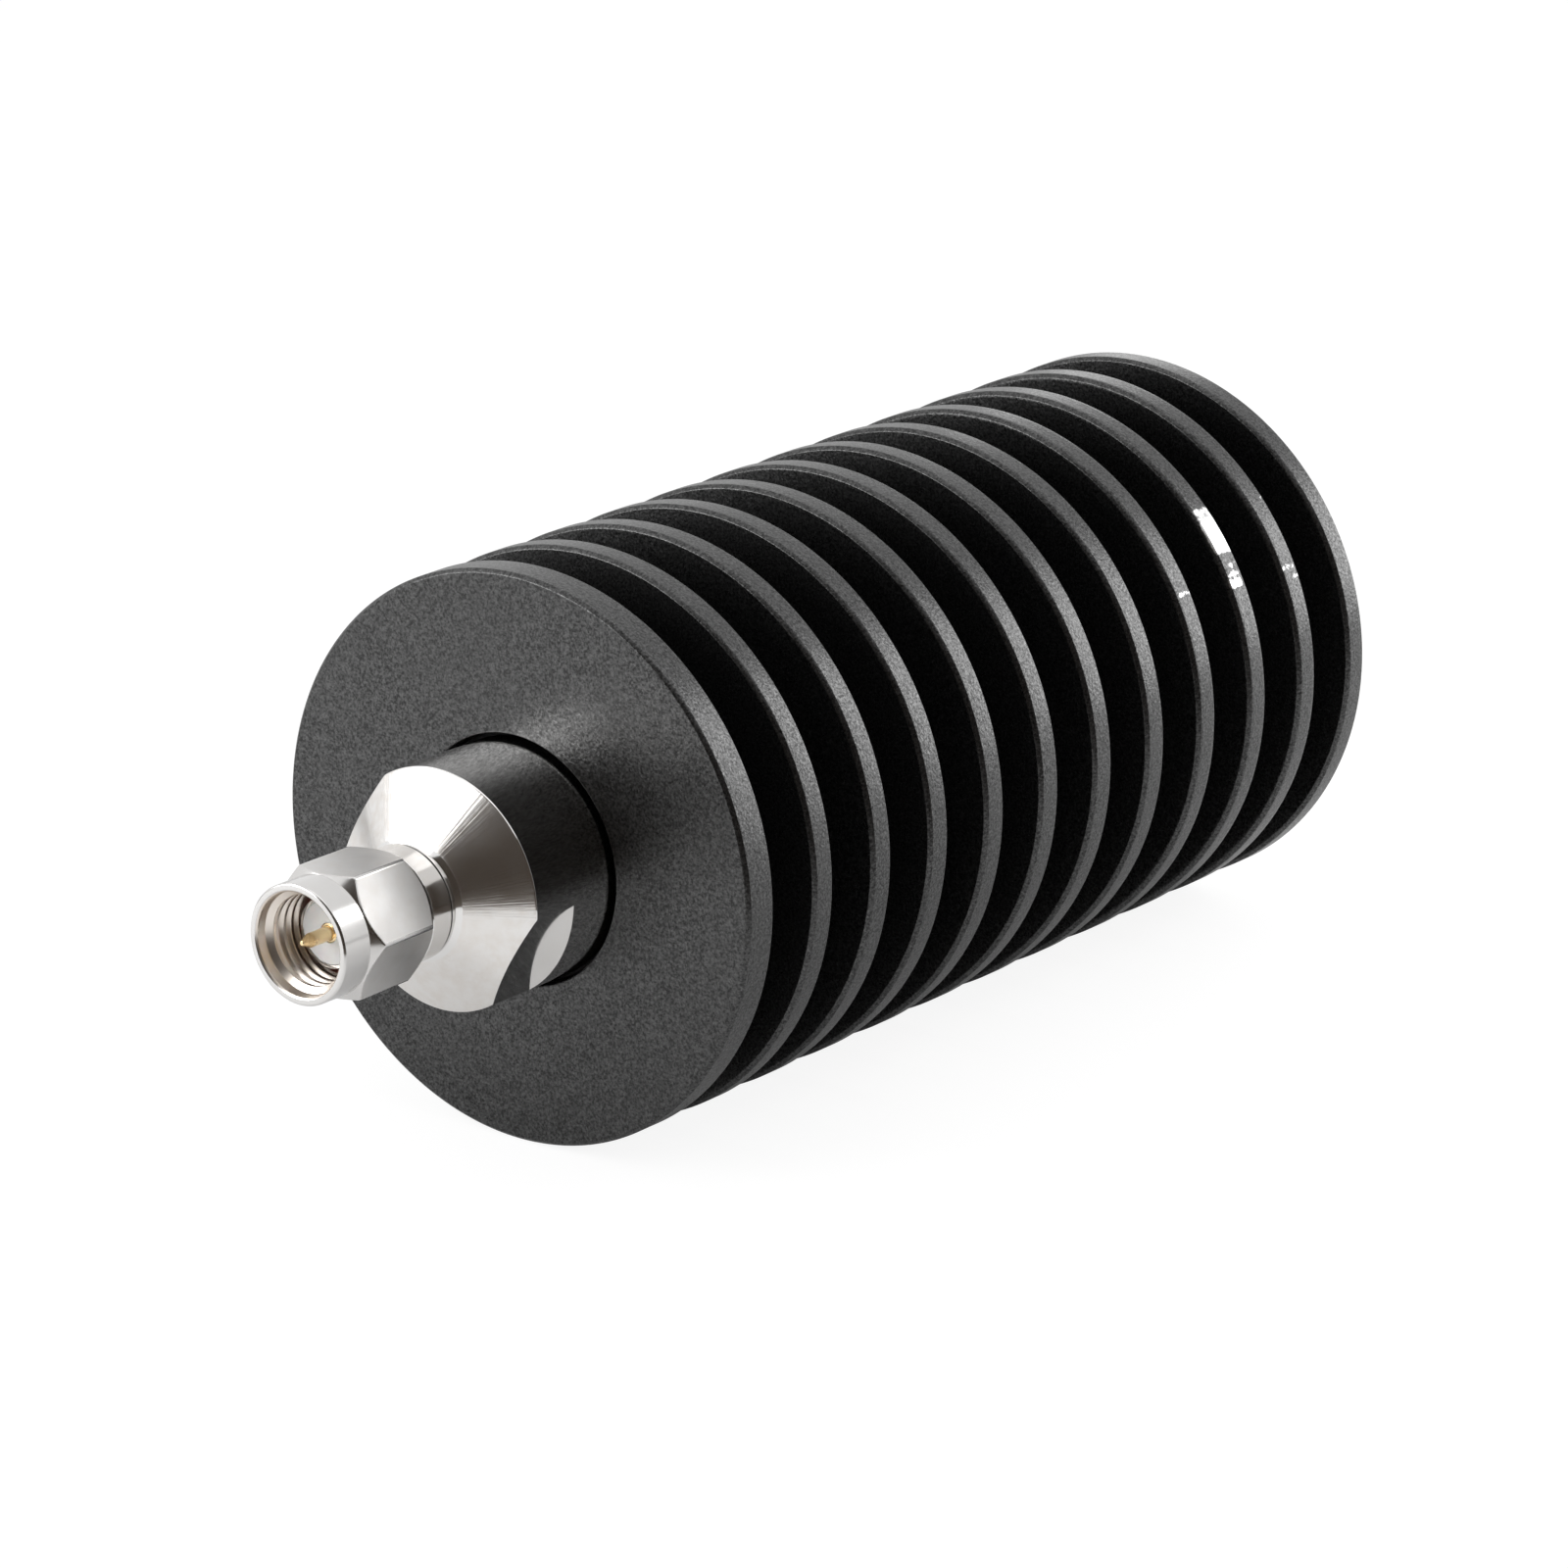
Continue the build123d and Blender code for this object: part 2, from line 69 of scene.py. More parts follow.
# Connector body sizes: a nose with a groove, a cone, a cylinder with two flats, a hidden spigot
body_radius = 8.0
body_out = 7.32
body_edge = 0.08
cone_tip_radius = 4.1
cone_half_angle = 58.0
cone_slope = tan(radians(cone_half_angle))
cone_out = body_out + (body_radius - cone_tip_radius) / cone_slope
cone_fillet = 0.12
nose_length = 0.6
nose_out = cone_out + nose_length
nose_radius = 3.755
nose_land = 0.2
groove_radius = 3.5
groove_step = 0.03
groove_overrun = 0.1
flat_distance = 7.1
flat_angle = -30.0
flat_length = 3.62
flat_wall_out = body_out - flat_length
flat_wall_step = 0.0005
seal_groove_in = (1.2, 2.4)
seal_groove_radius = 7.25
spigot_in = 10.1
spigot_radius = 7.45
spigot_chamfer = 0.4
bead_seat_radius = 2.6
bead_seat_depth = 2.0
bead_seat_in = spigot_in - bead_seat_depth
line_bore_radius = 1.46

# Connector shell sizes; a narrow seam parts each shell from its body
jack_flange_length = 1.7
shell_out = nose_out + jack_flange_length
flange_chamfer = 0.12
shell_bore_radius = 2.06
shell_screw_radius = 2.95
shell_screw_length = 4.0
shell_screw_out = nose_out - shell_screw_length
shell_screw_clearance = 0.05
flange_radius = 3.8
flange_front = 5.4
flange_flare = 0.1
flare_corner = 0.05
flare_length = 1.2
seam_width = 0.18
seam_depth = 0.34
contact_radius = 2.295
contact_length = 2.0
barrel_radius = 2.65
ring_front = 3.8
ring_groove_radius = 2.25
ring_groove = (ring_front - 0.2, ring_front + 0.6)

# Plug pin and conductor sizes
pin_nose_radius = 0.15
pin_radius = 0.46
pin_cone_length = 0.75
conductor_radius = 0.635
conductor_front = 0.04
tail_radius = 0.55
tail_length = 2.2
tail_step = 0.0001

# Coupling nut sizes
nut_turn = 1.3
nut_hex_distance = 4.0
nut_corner_radius = nut_hex_distance * 2 / sqrt(3)
nut_corner_round = 0.28
nut_collar_radius = 3.92
nut_collar_length = 2.33
nut_rear_radius = 3.92
nut_rear_step = 0.16
nut_mouth_radius = 3.5
nut_lip_chamfer = 0.1
nut_relief_radius = 3.36
nut_relief_length = 0.3
nut_rear_bore_radius = 2.72
nut_ring_groove_radius = 3.0
nut_ring_groove = (ring_front - 0.05, ring_front + 0.45)
nut_floor = 2.6
gasket_radius = 3.32
gasket_front = 2.05

# Thread sizes
thread_pitch = 25.4 / 36
nut_thread_root = 3.2
nut_thread_crest = 2.95
nut_thread_setback = 1.1
nut_thread_turns = 3.9
jack_thread_radius = 3.17
jack_thread_root = 2.74
jack_relief_radius = 2.66
jack_relief_length = 0.7
jack_lip_width = 0.02
jack_mouth_radius = 2.42
jack_counterbore_radius = 2.3
jack_counterbore_depth = 1.95
jack_counterbore_chamfer = 0.12
thread_runout = 0.2
THREAD_STEPS = 14
THREAD_ROOT_SHARE = 0.12
THREAD_FADE = 0.4

# Where the CAD pieces start and end along the axis
heatsink_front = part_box("heatsink")[0].y / MM
heatsink_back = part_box("heatsink")[1].y / MM
jack_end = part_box("jack_shell")[1].y / MM
nut_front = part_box("coupling_nut")[0].y / MM
nut_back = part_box("coupling_nut")[1].y / MM - nut_rear_step
pin_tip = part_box("plug_pin")[0].y / MM
conductor_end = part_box("plug_pin")[1].y / MM

# The y of the heatsink's face at each end, and the way out from it
ENDS = {"plug": (heatsink_front, -1), "jack": (heatsink_back, 1)}


def place(end, out):
    """The y of a point that far out from the heatsink's face at that end; inside is negative."""
    face, way = ENDS[end]
    return face + way * out


def along(end, pairs):
    """Turns (radius, distance out from the face) pairs into (radius, y) points."""
    return [(radius, place(end, out)) for radius, out in pairs]


def sharp(points):
    """The points marked so that no corner is rounded at them."""
    return [(radius, y, None) for radius, y in points]


def curve(start, turn, finish, t):
    """The point at t, from 0 to 1, of the curve from start to finish that heads for turn."""
    return (1 - t) ** 2 * start + 2 * t * (1 - t) * turn + t * t * finish


def softened(points, radius, steps=3):
    """A closed outline with its corners rounded, except those that are given as (r, y, None). A
    rounding takes at most 0.4 of each side that it joins."""
    result = []
    for i, point in enumerate(points):
        if len(point) == 3:
            result.append(point[:2])
            continue
        corner = Vector(point)
        before = Vector(points[i - 1][:2]) - corner
        after = Vector(points[(i + 1) % len(points)][:2]) - corner
        reach = min(radius, 0.4 * min(before.length, after.length))
        start = corner + before.normalized() * reach
        finish = corner + after.normalized() * reach
        result += [tuple(curve(start, corner, finish, step / steps)) for step in range(steps + 1)]
    return result


def divided(start, finish, count):
    """Points from start up to finish, finish left out, that a corner isn't rounded at."""
    (start_radius, start_y), (finish_radius, finish_y) = start, finish
    radius_step, y_step = finish_radius - start_radius, finish_y - start_y
    return sharp(
        (start_radius + radius_step * i / count, start_y + y_step * i / count)
        for i in range(count)
    )


def columns(count, dense=()):
    """Angles round the axis, evenly spread, with more in the (from, to, step) ranges of dense."""
    angles = set(np.round(np.arange(count) * 360 / count, 4))
    for start, finish, step in dense:
        inside = {a for a in angles if (a - start) % 360 < (finish - start) % 360}
        angles = (angles - inside) | set(np.round(np.arange(start, finish, step) % 360, 4))
    return np.array(sorted(angles))


def thread_rows(start, finish, angles, crest, root, crest_share):
    """Outline rows of a right-handed thread. Each row follows the helix and has its own y at every
    angle. The crest takes crest_share of the pitch, and the thread fades out at both ends."""
    count = int(np.ceil(((finish - start) / thread_pitch + 1) * THREAD_STEPS)) + 1
    to_crest = 0.5 - crest_share / 2
    flank = to_crest - THREAD_ROOT_SHARE / 2
    rows = []
    for i in range(count):
        turns = i / THREAD_STEPS
        y = start + (turns - angles / 360) * thread_pitch
        from_root = abs(turns % 1 - 0.5)
        depth = min(max((to_crest - from_root) / flank, 0), 1)
        fade = np.clip(np.minimum(y - start, finish - y) / (THREAD_FADE * thread_pitch), 0, 1)
        rows.append((crest + (root - crest) * depth * fade, np.clip(y, start, finish), None))
    return rows


def turned_mesh(name, radius, y, angle, helix):
    """A closed grid of faces through the rows of points. The rows in helix climb one turn of the
    thread from the last column to the first."""
    points = np.stack([radius * np.cos(angle), y, radius * np.sin(angle)], axis=-1)
    first = np.arange(radius.size).reshape(radius.shape)
    beside = np.roll(first, -1, axis=1)
    if len(helix):
        climb = -THREAD_STEPS if y[helix[-1], 0] > y[helix[0], 0] else THREAD_STEPS
        beside[helix, -1] = first[np.clip(helix + climb, helix[0], helix[-1]), 0]
    above, above_beside = np.roll(first, -1, axis=0), np.roll(beside, -1, axis=0)
    faces = np.stack([first, beside, above_beside, above], axis=-1)
    mesh = bpy.data.meshes.new(name)
    mesh.from_pydata(points.reshape(-1, 3).tolist(), [], faces.reshape(-1, 4).tolist())
    grid = bmesh.new()
    grid.from_mesh(mesh)
    bmesh.ops.remove_doubles(grid, verts=grid.verts, dist=MERGE_DISTANCE)
    bmesh.ops.recalc_face_normals(grid, faces=grid.faces)
    grid.to_mesh(mesh)
    grid.free()
    mesh.polygons.foreach_set("use_smooth", np.ones(len(mesh.polygons), bool))
    mesh.set_sharp_from_angle(angle=radians(SHARP_ANGLE))
    return mesh


def vertex_places(piece):
    """The x, y and z of every vertex, in one flat array."""
    places = np.zeros(len(piece.data.vertices) * 3)
    piece.data.vertices.foreach_get("co", places)
    return places


def take_to_metres(piece):
    """Weights the shading normals by face area, then scales the mesh from millimetres to metres.
    The weighting leaves out faces that are too small in metres, so it comes first."""
    weighting = piece.modifiers.new("even_shading", "WEIGHTED_NORMAL")
    weighting.mode = "FACE_AREA"
    weighting.keep_sharp = True
    unweighted = piece.data
    evaluated = piece.evaluated_get(bpy.context.evaluated_depsgraph_get())
    piece.data = bpy.data.meshes.new_from_object(evaluated)
    piece.modifiers.clear()
    bpy.data.meshes.remove(unweighted)
    piece.data.vertices.foreach_set("co", vertex_places(piece) * MM)
    piece.data.update()


def turned(name, outline, angles, body, node, shape=None):
    """A closed turned piece that stands for a CAD node. A point of the outline is a radius and a y,
    or both for every angle. shape takes the radius, y and angle of every point and returns the
    radius."""
    radius = np.array([np.broadcast_to(point[0], len(angles)) for point in outline], float)
    y = np.array([np.broadcast_to(point[1], len(angles)) for point in outline], float)
    angle = np.repeat(np.radians(angles)[None, :], len(outline), axis=0)
    if shape:
        radius = shape(radius, y, angle)
    helix = np.flatnonzero([np.ndim(point[1]) for point in outline])
    piece = bpy.data.objects.new(name, turned_mesh(name, radius, y, angle, helix))
    bpy.context.scene.collection.objects.link(piece)
    take_to_metres(piece)
    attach(piece, body)
    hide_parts(node)
    return piece


def polar(places):
    """Flat x, y and z in metres as radius, y and angle in millimetres and degrees."""
    x, y, z = places.reshape(-1, 3).T / MM
    return np.hypot(x, z), y, np.degrees(np.arctan2(z, x))


def face_centres(piece):
    """The radius, y and angle of the centre of every face."""
    centres = np.zeros(len(piece.data.polygons) * 3)
    piece.data.polygons.foreach_get("center", centres)
    return polar(centres)


def hexagon(angle, distance, turn, corner_round):
    """How far a hexagon's side is from the axis. Its corners are rounded, and one is at turn."""
    from_corner = np.radians(np.abs((np.degrees(angle) - turn + 30) % 60 - 30))
    side = distance / np.cos(pi / 6 - from_corner)
    centre = (distance - corner_round) / cos(pi / 6)
    off_centre = centre * np.sin(from_corner)
    arc = centre * np.cos(from_corner) + np.sqrt(np.maximum(corner_round**2 - off_centre**2, 0))
    arc_end = np.arctan2(corner_round * sin(pi / 6), centre + corner_round * cos(pi / 6))
    return np.where(from_corner < arc_end, arc, side)


def least(a, b, blend):
    """The smaller of a and b, with a rounded change from one to the other."""
    share = np.clip(0.5 + (b - a) / (2 * blend), 0, 1)
    return b * (1 - share) + a * share - blend * share * (1 - share)


# Worn spots on the rims: the fin, from and to round the rim in degrees, from and to across it in
# shares of its width, and how much is worn
worn_spots = [
    (10, 33.0, 40.6, -0.3, 1.3, 1.0),
    (10, 40.2, 43.6, -0.3, 1.3, 0.62),
    (10, 25.2, 27.3, -0.3, 0.9, 0.74),
    (10, 27.3, 29.2, -0.3, 0.9, 0.50),
    (10, 29.2, 31.0, 0.2, 0.8, 0.46),
    (9, 27.4, 28.7, 0.1, 1.3, 0.63),
    (11, 24.8, 26.2, -0.1, 0.9, 0.52),
    (11, 22.4, 23.8, 0.5, 1.2, 0.52),
    (11, 40.6, 41.7, 0.8, 1.4, 0.6),
]
worn_fins = {spot[0] for spot in worn_spots}
worn_depth = 0.2
worn_rim_rows = 4

# Where columns are closer together for the wear: from and to, and the step, in degrees
worn_arc = (20, 50, 0.4)

# How fast the wear fades at the ends of a spot, per degree, and at its sides, per width of the rim
worn_end_fade = 0.8
worn_side_fade = 4


def fin_start(fin):
    """The y of a fin's front side; fins are counted from 1 at the plug."""
    if fin == 1:
        return heatsink_front
    return heatsink_front + front_fin_width + fin_gap + (fin - 2) * (fin_gap + fin_width)


def fin_end(fin):
    """The y of a fin's back side."""
    return fin_start(fin) + (front_fin_width if fin == 1 else fin_width)


def fin_root(y, way):
    """The fillet from a fin's side at y down to the core; way is -1 in front of it, 1 behind."""
    root_radius = core_radius + fin_root_fillet
    bends = [radians(bend) for bend in (0, 30, 60, 90)]
    return sharp(
        (root_radius - fin_root_fillet * sin(bend), y + way * fin_root_fillet * (1 - cos(bend)))
        for bend in bends
    )


def fin_rim(fin):
    """The rim of a fin with its two chamfers. A worn fin has more rows, on its rim and below it."""
    start, finish = fin_start(fin), fin_end(fin)
    side_radius = heatsink_radius - fin_chamfer
    rim_start = (heatsink_radius, start + fin_chamfer)
    rim_end = (heatsink_radius, finish - fin_chamfer)
    before, between, after = [], [], []
    if fin in worn_fins:
        before, after = (sharp([(side_radius - worn_depth, y)]) for y in (start, finish))
        between = divided(rim_start, rim_end, worn_rim_rows + 1)[1:]
    rim = [(side_radius, start), rim_start, *between, rim_end, (side_radius, finish)]
    return before + rim + after


# Heatsink
heatsink_outline = []
for fin in range(1, fin_count + 1):
    if fin > 1:
        heatsink_outline += reversed(fin_root(fin_start(fin), -1))
    heatsink_outline += fin_rim(fin)
    if fin < fin_count:
        heatsink_outline += fin_root(fin_end(fin), 1)
heatsink_hole = [
    (pocket_radius + pocket_chamfer, 0),
    (pocket_radius, -pocket_chamfer),
    (pocket_radius, -pocket_in),
    (tapped_radius, -pocket_in),
    (tapped_radius, -spigot_in),
    (bore_radius, -spigot_in),
]
heatsink_outline += along("jack", heatsink_hole) + along("plug", reversed(heatsink_hole))
heatsink = turned(
    "heatsink_bar",
    softened(heatsink_outline, radius=0.05, steps=1),
    columns(360, [worn_arc]),
    body="attenuator",
    node="heatsink",
)


def worn_share(radius, y, angle):
    """How far each point lies inside a worn spot, from 0 outside to 1."""
    share = np.zeros(len(y))
    for fin, start, finish, low, high, strength in worn_spots:
        across = (y - fin_start(fin) - fin_chamfer) / (fin_width - 2 * fin_chamfer)
        from_ends = np.minimum(angle - start, finish - angle) * worn_end_fade
        from_sides = np.minimum(across - low, high - across) * worn_side_fade
        inside = strength * np.clip(0.5 + np.minimum(from_ends, from_sides), 0, 1)
        share = np.maximum(share, inside * (radius > heatsink_radius - worn_depth))
    return share


worn = worn_share(*polar(vertex_places(heatsink)))
worn_values = heatsink.data.attributes.new("worn", "FLOAT", "POINT").data
worn_values.foreach_set("value", worn.astype(np.float32))

# Connector bodies
groove_rows = 9
cone_tip_rows = 3
cone_rows = 22
flat_row_gap = 0.02
flat_arc_margin = 1
flat_half_arc = np.degrees(np.arccos(flat_distance / body_radius)) + flat_arc_margin


def flats(end):
    """Cuts the two spanner flats into a connector body."""
    face, way = ENDS[end]

    def shape(radius, y, angle):
        side = np.abs(np.cos(angle - radians(flat_angle)))
        cut = least(radius, flat_distance / np.maximum(side, 0.01), blend=0.02)
        return np.where((y - face) * way > flat_wall_out - flat_wall_step / 2, cut, radius)

    return shape


def nose_and_groove(end):
    """The body's nose, and the round groove between it and the cone."""
    groove_bottom = cone_out + (cone_tip_radius - groove_radius) / cone_slope - groove_overrun
    fillet = [Vector(point) for point in along(end, [
        (groove_radius, nose_out - nose_land - groove_step),
        (groove_radius, groove_bottom),
        (cone_tip_radius + cone_fillet, cone_out - cone_fillet / cone_slope),
    ])]
    return along(end, [
        (shell_screw_radius + shell_screw_clearance, nose_out),
        (nose_radius, nose_out),
        (nose_radius, nose_out - nose_land),
    ]) + sharp(curve(*fillet, t) for t in np.linspace(0, 1, groove_rows))


def cone_and_edge(end, cone_start):
    """The cone from cone_start, and its rounded edge. The flats start beside a row of their own."""
    flat_reach = cone_out - (flat_distance - cone_tip_radius) / cone_slope + flat_row_gap
    flat_row_radius = cone_tip_radius + (cone_out - flat_reach) * cone_slope
    edge_rise = body_edge / cone_slope
    flat_row, edge_start = along(end, [
        (flat_row_radius, flat_reach),
        (body_radius - body_edge, body_out + edge_rise),
    ])
    edge = along(end, [
        (
            body_radius - body_edge * (1 - share) ** 2,
            body_out + edge_rise * (1 - share) ** 2 - body_edge * share**2,
        )
        for share in (0, 0.35, 0.65, 1)
    ])
    tip = divided(cone_start, flat_row, cone_tip_rows)[1:]
    return tip + divided(flat_row, edge_start, cone_rows) + sharp(edge)


for end in ENDS:
    body_outline = nose_and_groove(end)
    body_outline += cone_and_edge(end, body_outline[-1][:2])
    body_outline += sharp(along(end, [
        (body_radius, flat_wall_out),
        (body_radius, flat_wall_out - flat_wall_step),
    ]))
    body_outline += along(end, [
        (body_radius, -seal_groove_in[0]),
        (seal_groove_radius, -seal_groove_in[0]),
        (seal_groove_radius, -seal_groove_in[1]),
        (body_radius, -seal_groove_in[1]),
        (body_radius, -pocket_in),
        (spigot_radius, -pocket_in),
        (spigot_radius, -spigot_in + spigot_chamfer),
        (spigot_radius - spigot_chamfer, -spigot_in),
        (bead_seat_radius, -spigot_in),
        (bead_seat_radius, -bead_seat_in),
        (line_bore_radius, -bead_seat_in),
        (line_bore_radius, shell_screw_out),
        (shell_screw_radius + shell_screw_clearance, shell_screw_out),
    ])
    flat_arcs = [
        (middle - flat_half_arc, middle + flat_half_arc, DENSE_STEP)
        for middle in (flat_angle, flat_angle + 180)
    ]
    turned(
        f"{end}_body_turned",
        softened(body_outline, radius=0.03),
        columns(240, flat_arcs),
        body="attenuator",
        node=f"{end}_body",
        shape=flats(end),
    )


def shell_root(end):
    """The shell's seam at the body's nose, and its hidden screw."""
    return along(end, [
        (flange_radius, nose_out + seam_width),
        (flange_radius - seam_depth, nose_out + seam_width),
        (flange_radius - seam_depth, nose_out),
        (shell_screw_radius, nose_out),
        (shell_screw_radius, shell_screw_out),
        (shell_bore_radius, shell_screw_out),
    ])


# Plug shell
flare_front = flange_front + flare_corner
flare = sharp(
    (flange_radius + flange_flare * (1 - share) ** 2, flare_front + share * flare_length)
    for share in (0.15, 0.3, 0.45, 0.6, 0.8, 1)
)
plug_shell = turned(
    "plug_shell_turned",
    softened([
        (shell_bore_radius, 0),
        (contact_radius, 0),
        (contact_radius, contact_length),
        (barrel_radius, contact_length),
        (barrel_radius, ring_groove[0]),
        (ring_groove_radius, ring_groove[0]),
        (ring_groove_radius, ring_groove[1]),
        (barrel_radius, ring_groove[1]),
        (barrel_radius, flange_front),
        (flange_radius + flange_flare - flare_corner, flange_front),
        (flange_radius + flange_flare, flare_front),
        *flare,
        *shell_root("plug"),
    ], radius=0.04),
    columns(160),
    body="attenuator",
    node="plug_shell",
)

# Plug pin
tail_start = conductor_end - tail_length


def pin_tail(radius, y, angle):
    """Slopes the upper half of the conductor's tail down to the axis, where the tab lies on it."""
    at_end = y > tail_start + tail_step
    in_upper_half = np.sin(angle) > 0.001
    return np.where(at_end & in_upper_half, 0, radius)


plug_pin = turned(
    "plug_pin_turned",
    softened([
        (0, pin_tip, None),
        (pin_nose_radius, pin_tip),
        (pin_radius, pin_tip + pin_cone_length),
        (pin_radius, conductor_front),
        (conductor_radius, conductor_front),
        *along("plug", [(conductor_radius, -bead_seat_in), (tail_radius, -bead_seat_in)]),
        (tail_radius, tail_start, None),
        (tail_radius, tail_start + tail_step, None),
        (tail_radius, conductor_end, None),
        (0, conductor_end, None),
    ], radius=0.06, steps=4),
    columns(96),
    body="attenuator",
    node="plug_pin",
    shape=pin_tail,
)

# Coupling nut
collar_back = nut_front + nut_collar_length
corner_front = collar_back + nut_corner_radius - nut_collar_radius
corner_back = nut_back - (nut_corner_radius - nut_rear_radius)
corner_middle = (corner_front + corner_back) / 2
thread_front = nut_front + nut_thread_setback
thread_back = thread_front + nut_thread_turns * thread_pitch
corner_rows = 14
corner_half_arc = 2.1
corner_arcs = [
    (nut_turn + turn - corner_half_arc, nut_turn + turn + corner_half_arc, DENSE_STEP)
    for turn in range(0, 360, 60)
]
nut_angles = columns(300, corner_arcs)
nut_thread = thread_rows(
    thread_front, thread_back, nut_angles, nut_thread_crest, nut_thread_root, crest_share=0.35
)
nut_outline = [
    (nut_mouth_radius, nut_front),
    (nut_collar_radius - nut_lip_chamfer, nut_front),
    (nut_collar_radius, nut_front + nut_lip_chamfer),
    *divided((nut_collar_radius, collar_back), (nut_corner_radius, corner_front), corner_rows),
    (nut_corner_radius, corner_front, None),
    (nut_corner_radius, corner_middle, None),
    *divided((nut_corner_radius, corner_back), (nut_rear_radius, nut_back), corner_rows),
    (nut_rear_radius, nut_back),
    (nut_rear_bore_radius, nut_back),
    (nut_rear_bore_radius, nut_ring_groove[1]),
    (nut_ring_groove_radius, nut_ring_groove[1]),
    (nut_ring_groove_radius, nut_ring_groove[0]),
    (nut_rear_bore_radius, nut_ring_groove[0]),
    (nut_rear_bore_radius, nut_floor),
    (gasket_radius, nut_floor),
    (gasket_radius, gasket_front),
    (nut_thread_root, gasket_front),
    (nut_thread_root, thread_back + thread_runout),
    (nut_thread_crest, thread_back, None),
    *reversed(nut_thread),
    (nut_thread_crest, thread_front, None),
    (nut_relief_radius, thread_front - nut_relief_length),
    (nut_relief_radius, nut_front + nut_mouth_radius - nut_relief_radius),
]


def nut_sides(radius, y, angle):
    """Cuts the hexagon's sides into the turned nut, with softer edges at its front."""
    blend = np.where(y > corner_middle, 0.01, 0.05)
    side = hexagon(angle, nut_hex_distance, nut_turn, nut_corner_round)
    outside = radius > nut_mouth_radius + 0.01
    return np.where(outside, least(radius, side, blend), radius)


nut = turned(
    "coupling_nut_turned",
    softened(nut_outline, radius=0.05),
    nut_angles,
    body="nut",
    node="coupling_nut",
    shape=nut_sides,
)

# Jack shell with its thread
jack_thread_start = place("jack", shell_out + jack_relief_length)
jack_thread_finish = jack_end - jack_lip_width
jack_plane = jack_end - jack_counterbore_depth
jack_angles = columns(300)
jack_thread = thread_rows(
    jack_thread_start, jack_thread_finish, jack_angles, jack_thread_radius, jack_thread_root,
    crest_share=0.15,
)
jack_outline = [
    *reversed(shell_root("jack")),
    *along("jack", [
        (flange_radius, shell_out - flange_chamfer),
        (flange_radius - flange_chamfer, shell_out),
        (jack_relief_radius, shell_out),
    ]),
    (jack_relief_radius, jack_thread_start - thread_runout),
    (jack_thread_root, jack_thread_start, None),
    *jack_thread,
    (jack_thread_root, jack_end, None),
    (jack_mouth_radius, jack_end),
    (jack_counterbore_radius, jack_end - jack_counterbore_chamfer),
    (jack_counterbore_radius, jack_plane),
    (shell_bore_radius, jack_plane),
]


def jack_ends(radius, y, angle):
    """Takes the thread down to its root at both ends."""
    lead = jack_thread_root + np.minimum(y - jack_thread_start, jack_end - y)
    on_thread = (radius > jack_thread_root - 0.001) & (y > jack_thread_start - 0.1)
    return np.where(on_thread, least(radius, lead, blend=0.015), radius)


jack_shell = turned(
    "jack_shell_turned",
    softened(jack_outline, radius=0.03),
    jack_angles,
    body="attenuator",
    node="jack_shell",
    shape=jack_ends,
)


# Materials
def adder(tree):
    """A function that adds a node to the emptied tree, with inputs by name or number: a socket is
    linked, and anything else is the input's value."""
    tree.nodes.clear()

    def add(kind, inputs=None, **settings):
        node = tree.nodes.new("ShaderNode" + kind)
        for key, value in settings.items():
            setattr(node, key, value)
        for key, value in (inputs or {}).items():
            socket = node.inputs[key]
            if isinstance(value, bpy.types.NodeSocket):
                tree.links.new(value, socket)
            else:
                socket.default_value = value
        return node

    return add


def material(name):
    """A new material, and the function that adds its nodes."""
    made = bpy.data.materials.new(name)
    made.use_nodes = True
    return made, adder(made.node_tree)


def output(add, shader):
    add("OutputMaterial", {"Surface": shader.outputs[0]})


def maths(add, operation, a, b=0.0):
    return add("Math", {0: a, 1: b}, operation=operation).outputs[0]


def noise(add, vector, scale, detail=2.0, rough=0.5):
    """A noise value at scale cycles to the metre."""
    inputs = {"Vector": vector, "Scale": scale, "Detail": detail, "Roughness": rough}
    return add("TexNoise", inputs).outputs[0]


def spread(add, value, low, high, to_low, to_high):
    """The value taken from one range to another, held at its ends."""
    ends = {"From Min": low, "From Max": high, "To Min": to_low, "To Max": to_high}
    return add("MapRange", {"Value": value, **ends}).outputs[0]


def mixed(add, factor, a, b):
    """The mix of two colours, which go into a Mix node's seventh and eighth inputs."""
    return add("Mix", {0: factor, 6: a, 7: b}, data_type="RGBA").outputs[2]


def bump(add, height, distance, below=None):
    """The surface raised by the height times a distance in millimetres, on top of another bump."""
    inputs = {"Height": height, "Distance": distance * MM, "Strength": 1.0}
    if below:
        inputs["Normal"] = below
    return add("Bump", inputs).outputs[0]


def ring_noise(add, along_scale, round_scale, detail=3.0, rough=0.6):
    """A noise value for turning marks. Rings have a large scale along the outline and a small one
    round the axis, and streaks are the other way about. Radius and y both count along the outline,
    in unlike shares, so that cones and faces have their marks too."""
    radius_share = 0.83
    split = add("SeparateXYZ", {0: add("TexCoord").outputs["Object"]})
    x, y, z = split.outputs
    squares = maths(add, "ADD", maths(add, "MULTIPLY", x, x), maths(add, "MULTIPLY", z, z))
    radius = maths(add, "SQRT", squares)
    off_axis = maths(add, "MAXIMUM", radius, 1e-5)
    outline = maths(add, "ADD", y, maths(add, "MULTIPLY", radius, radius_share))
    marks = add("CombineXYZ", {
        0: maths(add, "MULTIPLY", maths(add, "DIVIDE", x, off_axis), round_scale),
        1: maths(add, "MULTIPLY", maths(add, "DIVIDE", z, off_axis), round_scale),
        2: maths(add, "MULTIPLY", outline, along_scale),
    })
    return noise(add, marks.outputs[0], scale=1.0, detail=detail, rough=rough)


